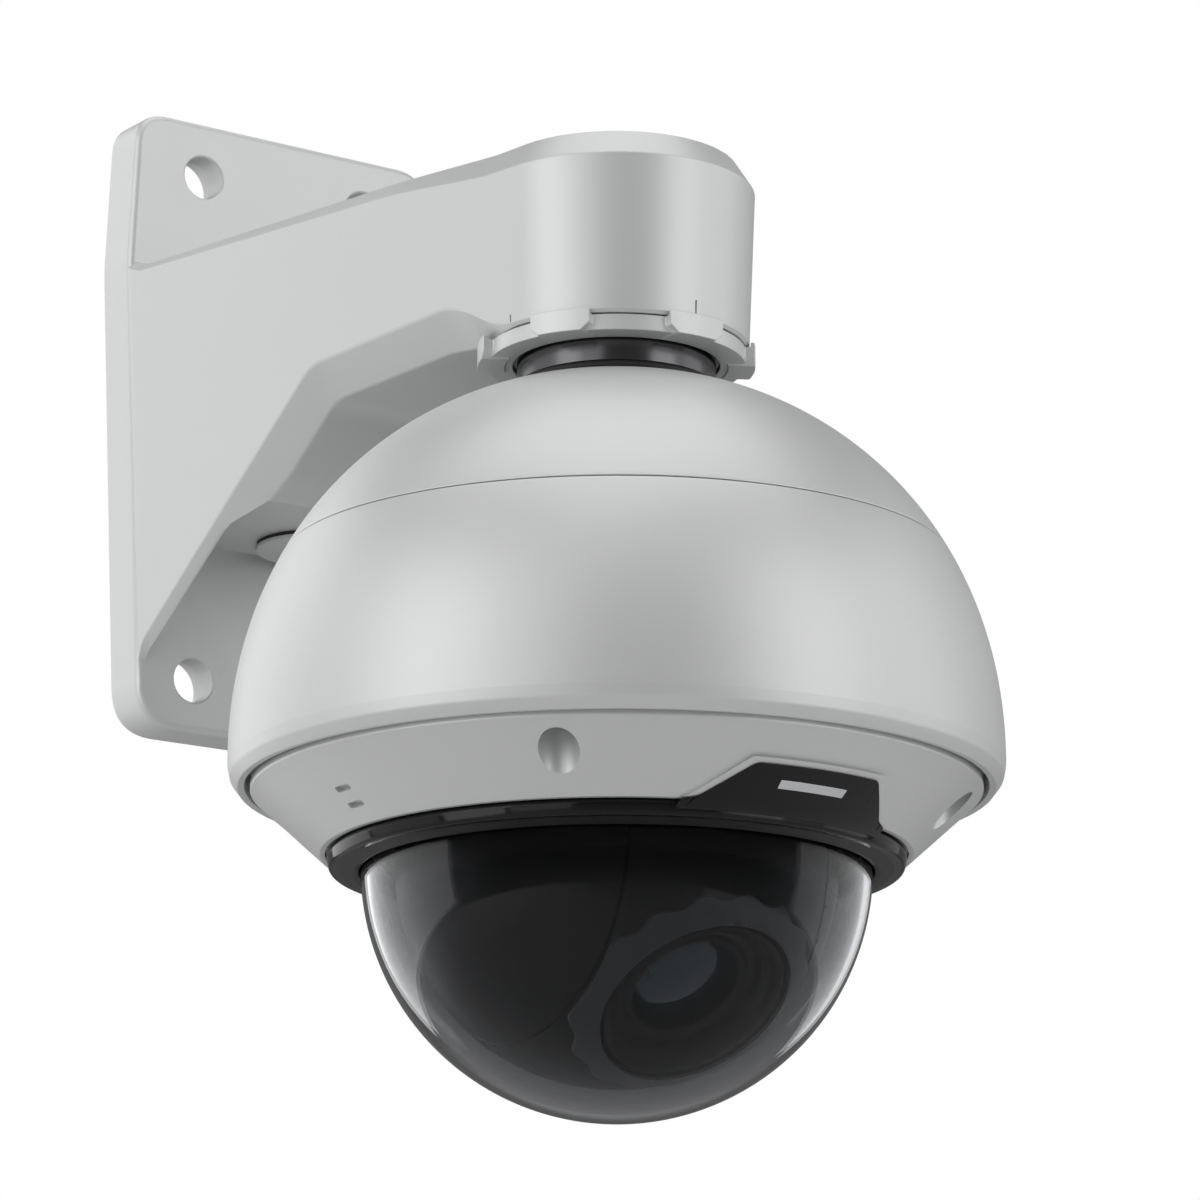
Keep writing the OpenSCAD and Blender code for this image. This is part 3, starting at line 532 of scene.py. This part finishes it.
def makeBadge(s):
    section = [(coneR(s, -10.6, -1.4), -10.6), (coneR(s, -10.6, 1.6), -10.6), (coneR(s, -19.6, 1.7), -19.6),
               (87.2, -21.9), (86.0, -22.6), (86.0, -19.8), (coneR(s, -19.4, -1.2), -19.4)]
    obj = toObject("badgePanel", lathe(section, turn=110, steps=110, start=-145), "glossBlack")
    carve(obj, prism(badgeOutline(s, 0), 80, frontPlace), "INTERSECT")
    finishPiece(obj, "housing", ["badge_panel"], soft=0.55)
    bar = [(coneR(s, -14.2, 1.4), -14.2), (coneR(s, -14.2, 1.85), -14.2), (coneR(s, -16.2, 1.85), -16.2),
           (coneR(s, -16.2, 1.4), -16.2)]
    mark = toObject("badgeBar", lathe(bar, turn=14, steps=24, start=-97), "polishedSteel")
    return finishPiece(mark, "housing", soft=0.12)


def makeBezel():
    profile = [(76.6, -21.7), (76.6, -24.9, 0.4), (78.4, -25.5, 0.8), (82.2, -24.1, 0.5), (85.4, -24.3, 1.6),
               (86.2, -21.0, 2.0), (85.6, -18.25, 1.4), (80.6, -18.25), (80.6, -21.7)]
    obj = toObject("bezelRing", lathe(filleted(profile, 7)), "glossBlack")
    obj.data.materials.append(materials["satinBlack"])
    for face in obj.data.polygons:
        flat = face.center - domeAxis
        inner = math.hypot(flat.x, flat.y) < 82.3 * mm and face.center.z < rimZ - 22 * mm
        face.material_index = 1 if inner else 0
    return finishPiece(obj, "housing", ["bezel_ring"])


def makeBubble(s):
    wall, low, flange = s["wall"], -21.5, 80.2
    outer = [(s["radius"] * math.cos(math.radians(a)), s["centreZ"] + s["radius"] * math.sin(math.radians(a)))
             for a in [-90 + 90.0 * i / 64 for i in range(65)]]
    inner = [(max(0, r - wall * r / s["radius"]), s["centreZ"] + (z - s["centreZ"]) * (1 - wall / s["radius"]))
             for r, z in reversed(outer)]
    profile = [*outer, (s["radius"], low), (flange, low), (flange, low + 1.8), (s["radius"] - wall, low + 1.8),
               *inner]
    return finishPiece(toObject("bubble", lathe(profile, steps=160), "smokedBubble"),
                       "housing", ["bubble"])


makeTrim(trim)
makeBadge(trim)
makeBezel()
bubble = makeBubble({"radius": 76.1, "wall": 2.5, "centreZ": -22.5})
for name, s in softboxes.items():
    lightsOnly(bpy.data.objects[name], bubble, s.get("only", False))
print("trim, badge, bezel and bubble made")


# wall arm

arm = {
    "reach": -domeAxis.y / mm, "plate": 17, "rimRound": 2.2, "frontWall": 8.5, "rearRim": 8,
    "boxLow": -41, "boxHigh": 49,          # between the two hollows in the plate's back
    "grooveIn": 5.6, "grooveOut": 2.4, "grooveDeep": 2.1,
    "boltX": 32, "boltZ": 87, "boltR": 7.4, "spotR": 14.4, "spotDeep": 0.17, "bossR": 11.2, "bossWall": 1.2,
    "topZ": 51.4, "topFall": 0.0488, "sideLean": 0.05215, "bevel": 10, "lowAtHead": -2.4,
    "headR": 40.6, "headGrow": 2.4, "headLow": 137.7 + rimZ / mm, "headTop": 41.6, "tangent": 5.6,
    "ringSeatR": 34.9, "neckBore": 30.1, "cableBore": 24, "plugR": 17.05, "plugY": -40, "softEdge": 0.5,
}


def headR(s, z):
    return s["headR"] + s["headGrow"] * (z - s["headLow"]) / (s["headTop"] - s["headLow"])


def armHalfWidth(s, u, z):
    # just inside the plate's side at first, flush beyond its rounded edge, then tangent to the round head
    plate = 60 - (53 - z) * s["sideLean"]
    inside = max(0, 15.5 - u) * 0.075
    reach = max(0, u - s["plate"]) / (s["reach"] + 4 - s["plate"])
    return plate - inside + (0.9952 * headR(s, z) - plate) * reach


def alongOutline(points, count):
    # even steps along an open line
    lengths = [0]
    for a, b in zip(points, points[1:]):
        lengths.append(lengths[-1] + math.dist(a, b))
    made = []
    for i in range(count + 1):
        want = lengths[-1] * i / count
        k = next(j for j in range(1, len(lengths)) if lengths[j] >= want - 1e-9)
        t = (want - lengths[k - 1]) / (lengths[k] - lengths[k - 1])
        made.append(tuple(a + (b - a) * t for a, b in zip(points[k - 1], points[k])))
    return made


def smoothStep(value, low, high):
    t = min(1, max(0, (value - low) / (high - low)))
    return t * t * (3 - 2 * t)


def armBeam(s):
    # cross-sections that follow the arm's lower edge from the plate, then turn round the head
    end = s["reach"] + 4
    edge = filleted([(10, -200), (12, -89), (14.2, -88, 1), (18.6, -77, 7), (113, -5.6, 16),
                     (end, s["lowAtHead"]), (end, -200)], 12)[1:-1]
    stations = [(*p, 0) for p in alongOutline(edge, 110) if p[0] > 13.5]
    around = 90 - s["tangent"]
    stations += [(end, s["lowAtHead"], s["tangent"] + around * i / 56) for i in range(1, 57)]
    bm = bmesh.new()
    rings = []
    for u, low, turn in stations:
        top = max(s["headTop"], s["topZ"] - u * s["topFall"] + max(0, 25 - u) ** 2 * 0.03)
        drop = 2.6 + u * 0.014 + 3 * smoothStep(u, 150, end)      # the sloping band along the top edge
        lean = 2.5 + 3 * smoothStep(u, 150, end)
        bevel = min(s["bevel"], 3 + max(0, u - 61) * 0.46, 1.2 + max(0, low + 88) * 0.14)
        under = low - bevel + (s["headLow"] + s["bevel"] - s["lowAtHead"]) * smoothStep(u, 168, 204)
        bevel = (low - under) * (1 - smoothStep(u, 178, end)) + 0.9 * smoothStep(u, 178, end)
        low = under + bevel
        soft = min(2.2, bevel * 0.6)
        wLow, wTop = armHalfWidth(s, u, low), armHalfWidth(s, u, top - drop)
        half = [(wLow - bevel, low - bevel, soft), (wLow, low, soft), (wTop, top - drop, 1.2),
                (wTop - lean, top, 1.2)]
        outline = filleted(half + [(-p[0], *p[1:]) for p in reversed(half)], 4)
        if turn:
            angle = math.radians(turn)
            scale = 1 / 0.9952
            ring = [bm.verts.new((x * scale * math.cos(angle) * mm,
                                  -(s["reach"] + abs(x) * scale * math.sin(angle)) * mm, z * mm))
                    for x, z in outline]
        else:
            ring = [bm.verts.new((x * mm, -u * mm, z * mm)) for x, z in outline]
        rings.append([bm.edges.new(pair) for pair in zip(ring, ring[1:] + ring[:1])])
    for a, b in zip(rings, rings[1:]):
        bmesh.ops.bridge_loops(bm, edges=a + b)
    bmesh.ops.edgeloop_fill(bm, edges=rings[0])
    bmesh.ops.remove_doubles(bm, verts=bm.verts, dist=1e-6)
    bmesh.ops.recalc_face_normals(bm, faces=bm.faces)
    return bm


def plateOutline(inset):
    half = [(57.6 - inset, 106 - inset, 12 - inset / 2), (60 - inset, 53, 60),
            (52.6 - inset, -104.5 + inset, 15.6 - inset)]
    return filleted([(-57.6 + inset, *half[0][1:])] + half + [(-p[0], *p[1:]) for p in (half[2], half[1])], 10)


def wallPlace(u):
    return Matrix.Translation((0, -u * mm, 0)) @ Matrix.Rotation(math.radians(90), 4, "X")


def boltPlace(x, z, y):
    return Matrix.Translation((x * mm, y * mm, z * mm)) @ Matrix.Rotation(math.radians(90), 4, "X")


def recessedPlate(s):
    # the plate with its hollow back, its bolt bosses and its bolt holes
    plate = prism(plateOutline(0), s["plate"], wallPlace(0))
    rim = [e for e in plate.edges if all(abs(v.co.y + s["plate"] * mm) < 1e-6 for v in e.verts)]
    bmesh.ops.bevel(plate, geom=rim, offset=s["rimRound"] * mm, segments=4, profile=0.5, affect="EDGES",
                    material=-1)
    obj = toObject("plate", plate, "greyPaint")
    for z0, z1 in ((s["boxHigh"], 120), (-120, s["boxLow"])):
        hollow = prism(plateOutline(s["rearRim"]), s["plate"] - s["frontWall"] + 1, wallPlace(-1))
        recess = toObject("recess", hollow, "greyPaint")
        carve(recess, prism([(-70, z0), (70, z0), (70, z1), (-70, z1)], 40, wallPlace(-5)), "INTERSECT")
        for x in (-s["boltX"], s["boltX"]):
            for z in (-s["boltZ"], s["boltZ"]):
                carve(recess, rod(s["bossR"], 30, boltPlace(x, z, 5)))
        carve(obj, takeMesh(recess))
    channel = prism(plateOutline(s["grooveOut"]), 2 + s["grooveDeep"], wallPlace(-2))
    groove = toObject("groove", channel, "greyPaint")
    carve(groove, prism(plateOutline(s["grooveIn"]), 8, wallPlace(-3)))
    carve(obj, takeMesh(groove))
    spot, bore, front = s["spotR"], s["bossR"] - s["bossWall"], 2 + s["plate"]
    waist = front - s["frontWall"] - 0.03
    hole = [(0, 0), (bore, 0), (bore, waist), (s["boltR"], waist), (s["boltR"], front - 0.55),
            (s["boltR"] + 0.5, front - s["spotDeep"]), (spot, front - s["spotDeep"]), (spot + 0.4, front + 0.1),
            (spot + 0.4, front + 7), (0, front + 7)]
    for x in (-s["boltX"], s["boltX"]):
        for z in (-s["boltZ"], s["boltZ"]):
            carve(obj, lathe(hole, boltPlace(x, z, 2), 96))
    return obj


def ribbedBeam(s):
    # the arm with the open bay between its two ribs, its new edges softened
    obj = toObject("beam", armBeam(s), "greyPaint")
    bay = filleted([(-51, -5), (-47.6, -64), (-41, -80, 6), (-41, -150), (41, -150), (41, -80, 6), (47.6, -64),
                    (51, -5)])
    carve(obj, prism(bay, 109, Matrix.Translation((0, 0, -0.150))))
    soften = obj.modifiers.new("soften", "BEVEL")
    soften.width, soften.segments = s["softEdge"] * mm, 2
    soften.limit_method, soften.angle_limit = "ANGLE", math.radians(55)
    bake(obj)
    return obj


def makeArm(s):
    obj = recessedPlate(s)
    obj.name = "wallArm"
    carve(obj, takeMesh(ribbedBeam(s)), "UNION")
    low, end = s["headLow"], -s["reach"] + 8
    carve(obj, rod(s["ringSeatR"], 4, Matrix.Translation(domeAxis + Vector((0, 0, (low - 2) * mm)))), "UNION")
    sideways = Matrix(((0, 0, 1, -0.08), (1, 0, 0, 0), (0, 1, 0, 0), (0, 0, 0, 1)))
    sideView = [(1, 41), (end, 35), (end, -5), (-108, -5), (-79, -33), (1, -33)]
    cavity = toObject("cavity", prism(sideView, 160, sideways), "greyPaint")
    carve(cavity, prism([(52, 1), (31, end), (-31, end), (-52, 1)], 140, Matrix.Translation((0, 0, -0.060))),
          "INTERSECT")
    carve(obj, takeMesh(cavity))
    carve(obj, rod(s["plugR"], 20, Matrix.Translation((0, s["plugY"] * mm, (s["boxLow"] - 4) * mm))))
    carve(obj, rod(s["neckBore"], 15, Matrix.Translation(domeAxis + Vector((0, 0, (low - 3) * mm)))))
    carve(obj, rod(s["cableBore"], 49, Matrix.Translation(domeAxis + Vector((0, 0, low * mm)))))
    for angle, start, length in ((-90, -0.5, 6.2), (183, 1.2, 2.4)):       # the two alignment marks
        mark = prism([(-1.6, -0.3), (1.6, -0.3), (1.6, 0.3), (-1.6, 0.3)], length,
                     Matrix.Translation(domeAxis) @ Matrix.Rotation(math.radians(angle), 4, "Z")
                     @ Matrix.Translation(((s["headR"] + 1.0) * mm, 0, (low + start) * mm)))
        carve(obj, mark)
    weigh = obj.modifiers.new("weighNormals", "WEIGHTED_NORMAL")
    weigh.keep_sharp = True
    return finishPiece(obj, "housing", ["wall_arm"], sharpAngle=35)


makeArm(arm)
print("wall arm made")


# lock ring and small parts with soft edges

softened = {
    "lockRing": {"node": "lock_ring", "body": "lock_ring", "soft": 0.3},
    "leftCheek": {"node": "left_cheek", "body": "pan", "soft": 0.3},
    "rightCheek": {"node": "right_cheek", "body": "pan", "soft": 0.3},
    "eyeballFront": {"node": "eyeball_front", "body": "tilt", "soft": 0.3},
    "lensBezel": {"node": "lens_bezel", "body": "tilt", "soft": 0.25},
    "conduitPlug": {"node": "conduit_plug", "body": "housing", "soft": 0.4},
}
for name, s in softened.items():
    piece = toObject(name, nodeCopy(s["node"]), finishOf(s["node"]))
    finishPiece(piece, s["body"], [s["node"]], soft=s["soft"])
print("softened pieces:", len(softened))


# lens

lens = {"hoodR": 28.6, "lipD": 59.2, "glassR": 15.6, "glassD": 46.2, "glassRise": 5.0, "seatR": 18.5}


def makeLensHood(s):
    profile = [(18.6, 42.1), (24, 42.1), (24, 48), (26, 48), (s["hoodR"], 55), (s["hoodR"], 58.0, 0.5),
               (27.6, s["lipD"], 0.5), (26.6, 58.6, 0.4), (25.4, 55.4, 0.5), (24.2, 55.2, 0.4),
               (23.6, 56.0, 0.4), (22.8, 55.8, 0.4), (21.4, 52.6, 0.6), (19.6, 52.0, 0.5), (18.4, 53.0, 0.5),
               (16.8, 53.0, 0.5), (16.2, 51.0, 0.4), (16.2, 49.4), (18.6, 49.4)]
    return finishPiece(toObject("lensHood", lathe(filleted(profile, 4), lensPlace, 128), "glossBlack"),
                       "tilt", ["lens_hood"])


def makeFrontLens(s):
    turns = [math.pi / 2 * i / 16 for i in range(17)]
    crown = [(s["glassR"] * math.sin(a), s["glassD"] + s["glassRise"] * math.cos(a)) for a in turns]
    profile = crown + [(s["seatR"], s["glassD"]), (s["seatR"], s["glassD"] - 4), (0, s["glassD"] - 4)]
    return finishPiece(toObject("frontLens", lathe(profile, lensPlace, 96), "coatedGlass"),
                       "tilt", ["front_lens"])


makeLensHood(lens)
makeFrontLens(lens)
print("lens made")


# neck

neck = {
    "radius": 30.3, "bore": 21, "low": 104, "threadR": 24.5, "foot": 122.3, "top": 148.3,
    "grooveR": 28.7, "grooveLow": 123.0, "grooveHigh": 125.6,
    "flangeR": 34.5, "flangeLow": 133.5, "flangeHigh": 135.6,
}


def makeNeck(s):
    r = s["radius"]
    profile = [(s["bore"], s["low"]), (s["threadR"], s["low"]), (s["threadR"], s["foot"]), (r, s["foot"]),
               (r, s["grooveLow"] - 0.2, 0.1), (s["grooveR"], s["grooveLow"], 0.2),
               (s["grooveR"], s["grooveHigh"], 0.2), (r, s["grooveHigh"] + 0.2, 0.3), (r, s["flangeLow"]),
               (s["flangeR"], s["flangeLow"]), (s["flangeR"], s["flangeHigh"]), (r, s["flangeHigh"]),
               (r, s["top"]), (s["bore"], s["top"])]
    return finishPiece(toObject("neckTube", lathe(filleted(profile, 3)), "darkChrome"),
                       "housing", ["neck_tube"])


makeNeck(neck)
print("neck made")
